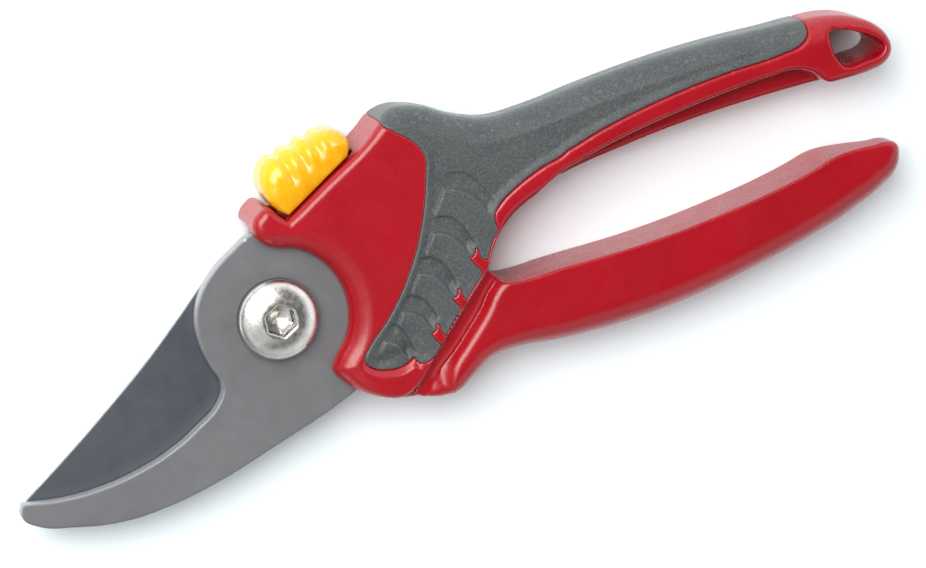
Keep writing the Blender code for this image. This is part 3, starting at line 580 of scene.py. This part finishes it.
def slider_shape():
    """The thumb slider: a domed pad crossed by curved ridges, on a keel in the channel's groove."""
    grid = Grid((4.4, 16, 1.6), (32, 33.4, 16.4), 0.7 * CELL)
    pad = [
        channel_point(-1.5, 0.3, 0.7, CORNER), channel_point(16, 0.3, 0.7, CORNER),
        channel_point(18.2, 1.7, 1.5), channel_point(18.8, 4, 3), channel_point(17.4, 6.5, 4),
        channel_point(13.6, 8.8, 4.4), channel_point(8, 10.3, 4.6), channel_point(3.6, 11.4, 4.6),
        channel_point(0.6, 10.6, 4.2), channel_point(-1.6, 8.1, 3.4), channel_point(-2.5, 5.2, 2.4),
        channel_point(-2.4, 2.4, 1.3),
    ]
    flat, edge = distance(grid, pad)
    cos, sin = math.cos(CHANNEL_ANGLE), math.sin(CHANNEL_ANGLE)
    dx, dy = grid.x - CHANNEL_START[0], grid.y - CHANNEL_START[1]
    along, above = dx * cos + dy * sin, -dx * sin + dy * cos
    lean = along + 0.32 * np.maximum(9.5 - above, 0) - 0.012 * (grid.z - 9) ** 2
    wave = (0.5 - 0.5 * np.cos(2 * math.pi * (lean - RIDGE_START) / RIDGE_PITCH)) ** 0.8
    shown = ease(above, 3, 6.5) * ease(lean, 2, 3.6) * (1 - ease(lean, 15.2, 17))
    shape = prism(grid, flat, SLIDER_LOW, SLIDER_HIGH, edge, edge)
    shape = shape + RIDGE_DEPTH * (1 - wave) * shown
    keel = outline(grid, channel_box(-1, 11.3, -1.9, 1.5))
    shape = join(shape, prism(grid, keel, KEEL_LOW, KEEL_HIGH, 0.2, 0.2), 0.2)
    pocket = outline(grid, channel_box(-3, 6.3, -4, -0.4))
    shape = np.maximum(shape, -prism(grid, pocket, CATCH_WAY_LOW, CATCH_WAY_HIGH))
    pin = upright(grid, channel_point(*LOCK_PIN), LOCK_PIN_WAY, LOCK_PIN_LOW, LOCK_PIN_TOP)
    shape = np.maximum(shape, -pin)
    return grid, shape


def cover_shape():
    grid = Grid((3, -28, -0.7), (49, 22.6, COVER_FRONT + 0.8), 0.9 * CELL)
    outside_boss = BODY_ARC_RADIUS - np.sqrt(grid.x ** 2 + grid.y ** 2)
    flat = np.maximum(outline(grid, COVER_OUTLINE), outside_boss)
    shape = prism(grid, flat, 0, COVER_FRONT, 0.2, 0.7)
    for place in COVER_SCREWS:
        shape = np.maximum(shape, -upright(grid, place, SCREW_WAY, BELOW, 5))
        shape = cut(shape, upright(grid, place, SCREW_SEAT, BELOW, 1.1), 0.25)
    return grid, shape


def rings_piece(name, rings, finish, body, slot, *nodes, sides=96):
    """A closed piece through rings of radius and height. A radius may be a function of angle."""
    angles = [2 * math.pi * i / sides for i in range(sides)]
    points = []
    for radius, height in rings:
        for a in angles:
            r = radius(a) if callable(radius) else radius
            points.append((r * math.cos(a), r * math.sin(a), height))
    faces = []
    for k in range(len(rings) - 1):
        for i in range(sides):
            j = (i + 1) % sides
            faces.append((k * sides + i, (k + 1) * sides + i, (k + 1) * sides + j, k * sides + j))
    obj = mesh_piece(name, points, np.array(faces), finish, body, slot, *nodes)
    obj.data.set_sharp_from_angle(angle=math.radians(40))


def hexagon(inradius, soften=0.0):
    """Radius of a hexagon at an angle; softening cuts its corners back to a circle."""
    widest = inradius / math.cos(math.pi / 6) - soften

    def radius(angle):
        across = (angle - HEXAGON_TURN) % (math.pi / 3) - math.pi / 6
        return min(inradius / math.cos(across), widest)

    return radius


def crown(radius):
    """Height of the bolt's dome at a radius."""
    base = CHEEK_BACK + 1.2
    drop = math.sqrt(max(0.0, 1 - (radius / BOLT_HEAD_RADIUS) ** 2.6))
    return base + (BOLT_HEAD_TOP - base) * drop


def build_bolt(finish):
    """Socket, dome, edge and shank, from the socket's floor round to the end of the shank."""
    floor, half, dome_steps = BOLT_HEAD_TOP - SOCKET_DEPTH, SOCKET_FLATS / 2, 24
    rings = [
        (0.01, floor - 0.9), (1.2, floor - 0.45), (2.3, floor - 0.05), (hexagon(half - 0.1), floor),
        (hexagon(half), floor + 0.1), (hexagon(half), BOLT_HEAD_TOP - 0.32),
        (hexagon(half + 0.1), BOLT_HEAD_TOP - 0.12),
        (hexagon(half + 0.35, 0.1), BOLT_HEAD_TOP - 0.01),
    ]
    for i in range(dome_steps + 1):
        share = math.sin(math.pi / 2 * i / dome_steps)
        radius = BOLT_FLAT_TOP + (BOLT_HEAD_RADIUS - BOLT_FLAT_TOP) * share
        height = crown(radius) - crown(BOLT_FLAT_TOP) + BOLT_HEAD_TOP - 0.03 * i / dome_steps
        rings.append((radius, height))
    rings += [
        (BOLT_HEAD_RADIUS, height - 0.1), (BOLT_HEAD_RADIUS - 0.05, CHEEK_BACK - 0.1),
        (BOLT_HEAD_RADIUS - 0.35, CHEEK_BACK - 0.25), (SHANK_RADIUS, CHEEK_BACK - 0.25),
        (SHANK_RADIUS, 2.0), (SHANK_RADIUS - 0.5, SHANK_END), (0.01, SHANK_END),
    ]
    rings_piece("bolt_domed", rings, finish, "upper", "zinc_plated_steel", "pivot_bolt")


def build_nut(finish):
    """Front face, sides, closed end and bore, from the bore's mouth round to it again."""
    half, bore = NUT_FLATS / 2, SHANK_RADIUS + 0.3
    chamfer = hexagon(half - 0.15, 0.55)
    rings = [
        (bore, NUT_HEIGHT), (half * 0.97, NUT_HEIGHT), (chamfer, NUT_HEIGHT - 0.12),
        (hexagon(half), NUT_HEIGHT - 0.55), (hexagon(half), 0.55), (chamfer, 0.12),
        (half * 0.97, 0.0), (0.01, 0.0), (0.01, NUT_FLOOR), (bore, NUT_FLOOR), (bore, NUT_HEIGHT),
    ]
    rings_piece("nut_closed", rings, finish, "upper", "zinc_plated_steel", "pivot_nut")


# ---- Materials -------------------------------------------------------------------------------

class Finish:
    """A Principled material and short ways to drive it from the object's own coordinates."""

    def __init__(self, name, **values):
        self.material = bpy.data.materials.new(name)
        self.material.use_nodes = True
        self.tree = self.material.node_tree
        self.shader = self.tree.nodes["Principled BSDF"]
        self.place = self.tree.nodes.new("ShaderNodeTexCoord").outputs["Object"]
        for key, value in values.items():
            self.shader.inputs[key.replace("_", " ")].default_value = value

    def node(self, kind, **inputs):
        made = self.tree.nodes.new(kind)
        for key, value in inputs.items():
            self.feed(made.inputs[key.replace("_", " ")], value)
        return made

    def feed(self, socket, value):
        if isinstance(value, bpy.types.NodeSocket):
            self.tree.links.new(value, socket)
        else:
            socket.default_value = value

    def noise(self, size, detail=2.0, rough=0.5, low=0.3, high=0.7):
        """Noise with spots of that size in millimetres, stretched to run from 0 to 1."""
        made = self.node("ShaderNodeTexNoise", Vector=self.place, Scale=1 / (size * MM),
                         Detail=detail, Roughness=rough)
        return self.spread(made.outputs["Fac"], low, high)

    def spread(self, value, low, high, to_low=0.0, to_high=1.0):
        """The range from low to high, stretched to another range and cut off at its ends."""
        made = self.node("ShaderNodeMapRange", Value=value, From_Min=low, From_Max=high,
                         To_Min=to_low, To_Max=to_high)
        return made.outputs["Result"]

    def math(self, operation, a, b=0.0):
        made = self.node("ShaderNodeMath")
        made.operation = operation
        self.feed(made.inputs[0], a)
        self.feed(made.inputs[1], b)
        return made.outputs[0]

    def mix(self, share, a, b):
        made = self.node("ShaderNodeMix")
        made.data_type = "RGBA"
        for socket, value in zip((made.inputs[0], made.inputs[6], made.inputs[7]), (share, a, b)):
            self.feed(socket, (*value, 1.0) if isinstance(value, tuple) else value)
        return made.outputs[2]

    def side(self, low=0.85, high=0.35):
        """1 on walls and 0 on the front and back faces."""
        normal = self.node("ShaderNodeTexCoord").outputs["Normal"]
        z = self.node("ShaderNodeSeparateXYZ", Vector=normal).outputs["Z"]
        return self.spread(self.math("ABSOLUTE", z), low, high)

    def edges(self, low=0.52, high=0.58):
        """1 on sharp edges and 0 elsewhere, or 1 in hollows when low is above high."""
        return self.spread(self.node("ShaderNodeNewGeometry").outputs["Pointiness"], low, high)

    def bump(self, *layers):
        """Each layer is (height, depth in millimetres)."""
        normal = None
        for height, depth in layers:
            made = self.node("ShaderNodeBump", Height=height, Distance=depth * MM, Strength=1.0)
            if normal is not None:
                self.feed(made.inputs["Normal"], normal)
            normal = made.outputs["Normal"]
        self.feed(self.shader.inputs["Normal"], normal)

    def color(self, value):
        self.feed(self.shader.inputs["Base Color"], value)

    def roughness(self, value):
        self.feed(self.shader.inputs["Roughness"], value)


def red_plastic():
    f = Finish("red_plastic", Specular_IOR_Level=0.6)
    tone = f.mix(f.noise(14, 3), (0.312, 0.0015, 0.007), (0.368, 0.002, 0.010))
    tone = f.mix(f.math("MULTIPLY", f.noise(0.35, 1), 0.25), tone, (0.27, 0.0015, 0.006))
    f.color(f.mix(f.math("MULTIPLY", f.edges(), 0.25), tone, (0.60, 0.04, 0.04)))
    f.roughness(f.spread(f.noise(5, 3), 0, 1, 0.25, 0.31))
    f.bump((f.noise(0.28, 2), 0.012), (f.noise(1.6, 2), 0.01))
    return f.material


def grey_rubber():
    f = Finish("grey_rubber", Specular_IOR_Level=0.5, Sheen_Weight=0.3, Sheen_Roughness=0.35)
    tone = f.mix(f.noise(9, 3), (0.040, 0.045, 0.048), (0.058, 0.064, 0.065))
    speck = f.noise(0.5, 2, 0.7, 0.45, 0.72)
    tone = f.mix(f.math("MULTIPLY", speck, 0.6), tone, (0.13, 0.137, 0.132))
    # Paler on sharp edges: partly wear, partly painted highlight along the scales' edges.
    tone = f.mix(f.math("MULTIPLY", f.edges(0.51, 0.57), 0.35), tone, (0.15, 0.155, 0.15))
    # Near black in hollows and creases: painted shade.
    f.color(f.mix(f.math("MULTIPLY", f.edges(0.49, 0.43), 0.5), tone, (0.028, 0.031, 0.033)))
    f.roughness(f.spread(f.noise(2.5, 2), 0, 1, 0.46, 0.56))
    f.bump((f.noise(0.42, 2, 0.6), 0.05), (f.noise(1.3, 2), 0.02))
    return f.material


def yellow_plastic():
    """Palest at half height, deeper at its foot, and darker at its top as painted shade."""
    f = Finish("yellow_plastic", Specular_IOR_Level=0.5, Subsurface_Weight=0.25,
               Subsurface_Scale=0.002, Coat_Weight=0.3, Coat_Roughness=0.12)
    f.shader.inputs["Subsurface Radius"].default_value = (1.0, 0.5, 0.1)
    above = f.node("ShaderNodeVectorMath")
    above.operation = "DOT_PRODUCT"
    f.feed(above.inputs[0], f.place)
    above.inputs[1].default_value = (-math.sin(CHANNEL_ANGLE), math.cos(CHANNEL_ANGLE), 0.25)
    height = above.outputs["Value"]
    tone = f.mix(f.spread(height, 0.018, 0.026), (0.60, 0.21, 0.0), (0.78, 0.45, 0.001))
    # Darker towards the top: painted shade.
    tone = f.mix(f.spread(height, 0.0275, 0.034), tone, (0.60, 0.36, 0.001))
    f.color(f.mix(f.math("MULTIPLY", f.noise(3, 2), 0.3), tone, (0.82, 0.54, 0.006)))
    f.roughness(f.spread(f.noise(1.5, 2), 0, 1, 0.2, 0.3))
    f.bump((f.noise(0.5, 2), 0.006))
    return f.material


def coated_steel(name, dark, light, bare, rough, wall=0.8):
    """Coated plate: fine matt grain on the faces, barer metal on the cut walls and the edges."""
    f = Finish(name, Metallic=0.55)
    tone = f.mix(f.noise(18, 4), dark, light)
    tone = f.mix(f.math("MULTIPLY", f.noise(0.3, 1), 0.22), tone, tuple(c * 0.8 for c in dark))
    worn = f.math("MULTIPLY", f.math("MAXIMUM", f.side(), f.edges(0.53, 0.6)), wall)
    streak = f.math("MULTIPLY", f.noise(0.6, 3), 0.35)
    f.color(f.mix(worn, tone, f.mix(streak, bare, tuple(c * 0.6 for c in bare))))
    f.roughness(f.spread(f.noise(4, 3), 0, 1, rough, rough + 0.1))
    f.bump((f.noise(0.25, 2), 0.008), (f.noise(3, 2), 0.01))
    return f.material


def bright_metal(name, tint, stain_and_shade, rough):
    """Plated or turned metal with faint stains and fine scratches, and painted shade on steep
    walls.
    """
    f = Finish(name, Metallic=1.0)
    tone = f.mix(f.noise(3.5, 4, 0.6, 0.42, 0.75), tint, stain_and_shade)
    tone = f.mix(f.math("MULTIPLY", f.noise(0.5, 3), 0.2), tone, tuple(c * 0.7 for c in tint))
    # Near black on steep walls, such as the socket and the bolt head's edge: painted shade.
    f.color(f.mix(f.side(0.3, 0.12), tone, tuple(c * 0.15 for c in stain_and_shade)))
    f.roughness(f.spread(f.noise(1.2, 4), 0, 1, rough, rough + 0.14))
    f.bump((f.noise(0.35, 3), 0.005), (f.noise(2.2, 2), 0.012))
    return f.material


# ---- Assembly --------------------------------------------------------------------------------

RED, GREY, YELLOW = red_plastic(), grey_rubber(), yellow_plastic()
HOOK_STEEL = coated_steel(
    "coated_hook_steel", (0.175, 0.175, 0.183), (0.205, 0.205, 0.213), (0.52, 0.525, 0.54), 0.46)
BLADE_STEEL = coated_steel(
    "coated_blade_steel", (0.080, 0.091, 0.107), (0.101, 0.112, 0.128), (0.75, 0.75, 0.74), 0.4,
    wall=1.0)
ZINC = bright_metal("zinc_plated_steel", (0.83, 0.82, 0.79), (0.66, 0.60, 0.52), 0.2)
SPRING_STEEL = bright_metal("spring_steel", (0.5, 0.5, 0.5), (0.36, 0.35, 0.33), 0.3)
BRASS = bright_metal("bush_brass", (0.72, 0.52, 0.22), (0.45, 0.33, 0.16), 0.28)

grid, body, grip = handle_shapes()
mesh_piece("upper_moulding", *skin(grid, body), RED, "upper", "red_plastic", "upper_handle")
mesh_piece("grip_overmould", *skin(grid, grip), GREY, "upper", "grey_rubber", "soft_grip")
del body, grip
mesh_piece("lower_moulding", *skin(*lower_shape()), RED, "lower", "red_plastic", "lower_handle")
mesh_piece("hook_blade", *skin(*hook_shape()), HOOK_STEEL, "upper", "coated_hook_steel",
           "hook_plate")
mesh_piece("bypass_blade", *skin(*blade_shape()), BLADE_STEEL, "lower", "coated_blade_steel",
           "cutting_blade")
mesh_piece("thumb_slider", *skin(*slider_shape()), YELLOW, "lock", "yellow_plastic", "lock_slider")
mesh_piece("back_cover", *skin(*cover_shape()), RED, "upper", "red_plastic", "rear_cover")
build_bolt(ZINC)
build_nut(ZINC)

# The CAD nodes that stay in view, each with its metal.
KEPT = {
    ZINC: ["pivot_washer", "lock_pin"] + [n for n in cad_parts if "_screw_" in n],
    SPRING_STEEL: ["lock_catch", "detent_spring", "return_spring"],
    BRASS: ["pivot_bush"],
}
for finish, names in KEPT.items():
    for name in names:
        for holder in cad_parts[name].material_slots:
            holder.material = finish


# ---- Floor, light and camera -----------------------------------------------------------------

AIM = (41.4, -14.5, 0.0)                    # the point at the middle of the view
CAMERA_REACH = 1.1                          # in metres
CAMERA_TILT, CAMERA_SIDE, CAMERA_TURN = 16.82, 120.8, 25.0      # in degrees
CAMERA_LENS, SENSOR = 198.0, 36.0


def build_floor():
    """A plain pale floor just under the tool."""
    half = 3.0
    z = cad_box[0].z - 0.0001
    mesh = bpy.data.meshes.new("floor")
    mesh.from_pydata([(-half, -half, z), (half, -half, z), (half, half, z), (-half, half, z)], [],
                     [(0, 1, 2, 3)])
    f = Finish("floor_white", Roughness=0.9, Specular_IOR_Level=0.1)
    f.color(f.mix(f.noise(400, 2), (0.90, 0.97, 0.985), (0.91, 0.975, 0.99)))
    mesh.materials.append(f.material)
    obj = bpy.data.objects.new("floor", mesh)
    bpy.context.scene.collection.objects.link(obj)


def area_light(name, azimuth, elevation, reach, size, power):
    """A soft square light aimed at the middle of the tool. Angles in degrees, lengths in metres."""
    light = bpy.data.lights.new(name, "AREA")
    light.shape = "SQUARE"
    light.size = size
    light.energy = power
    obj = bpy.data.objects.new(name, light)
    a, e = math.radians(azimuth), math.radians(elevation)
    away = Vector((math.cos(a) * math.cos(e), math.sin(a) * math.cos(e), math.sin(e)))
    obj.location = Vector(AIM) * MM + away * reach
    obj.rotation_mode = "QUATERNION"
    obj.rotation_quaternion = (-away).to_track_quat("-Z", "Y")
    obj.visible_camera = False
    bpy.context.scene.collection.objects.link(obj)


def build_world():
    """A studio with a pale horizon, a ring of bright screens above it, and a dark ceiling."""
    world = bpy.data.worlds.new("studio")
    world.use_nodes = True
    tree = world.node_tree
    place = tree.nodes.new("ShaderNodeTexCoord")
    split = tree.nodes.new("ShaderNodeSeparateXYZ")
    ramp = tree.nodes.new("ShaderNodeValToRGB")
    stops = ((0.0, (0.70, 0.72, 0.75)), (0.24, (0.75, 0.77, 0.80)), (0.36, (0.98, 0.99, 1.0)),
             (0.6, (0.95, 0.97, 1.0)), (0.74, (0.09, 0.095, 0.10)))
    elements = ramp.color_ramp.elements
    elements[1].position = stops[-1][0]
    for position, _ in stops[1:-1]:
        elements.new(position)
    for element, (_, color) in zip(elements, stops):
        element.color = (*color, 1)
    tree.links.new(place.outputs["Generated"], split.inputs[0])
    tree.links.new(split.outputs["Z"], ramp.inputs[0])
    tree.links.new(ramp.outputs[0], tree.nodes["Background"].inputs["Color"])
    # The screens are brightest beyond the handle ends and dim behind the blades.
    toward = tree.nodes.new("ShaderNodeVectorMath")
    toward.operation = "DOT_PRODUCT"
    toward.inputs[1].default_value = (0.95, 0.15, 0)
    strength = tree.nodes.new("ShaderNodeMapRange")
    strength.inputs["From Min"].default_value = -1.0
    strength.inputs["To Min"].default_value = 0.3
    strength.inputs["To Max"].default_value = 1.4
    tree.links.new(place.outputs["Generated"], toward.inputs[0])
    tree.links.new(toward.outputs["Value"], strength.inputs["Value"])
    tree.links.new(strength.outputs["Result"], tree.nodes["Background"].inputs["Strength"])
    bpy.context.scene.world = world


def build_camera():
    """A long lens, leaning away from straight above and turned about the line of sight."""
    data = bpy.data.cameras.new("camera")
    data.sensor_width = SENSOR
    data.lens = CAMERA_LENS
    data.clip_start, data.clip_end = 0.05, 20.0
    obj = bpy.data.objects.new("camera", data)
    tilt, side = math.radians(CAMERA_TILT), math.radians(CAMERA_SIDE)
    flat = math.sin(tilt)
    away = Vector((flat * math.cos(side), flat * math.sin(side), math.cos(tilt)))
    obj.location = Vector(AIM) * MM + away * CAMERA_REACH
    obj.rotation_mode = "QUATERNION"
    lean = Vector((0, 0, 1)).rotation_difference(away)
    obj.rotation_quaternion = lean @ Quaternion((0, 0, 1), -math.radians(CAMERA_TURN))
    bpy.context.scene.collection.objects.link(obj)
    bpy.context.scene.camera = obj


build_floor()
build_world()
area_light("key", azimuth=116, elevation=54, reach=0.9, size=0.7, power=11.0)
area_light("fill", azimuth=185, elevation=60, reach=0.9, size=1.0, power=1.6)
build_camera()
bpy.context.scene.view_settings.view_transform = "Standard"
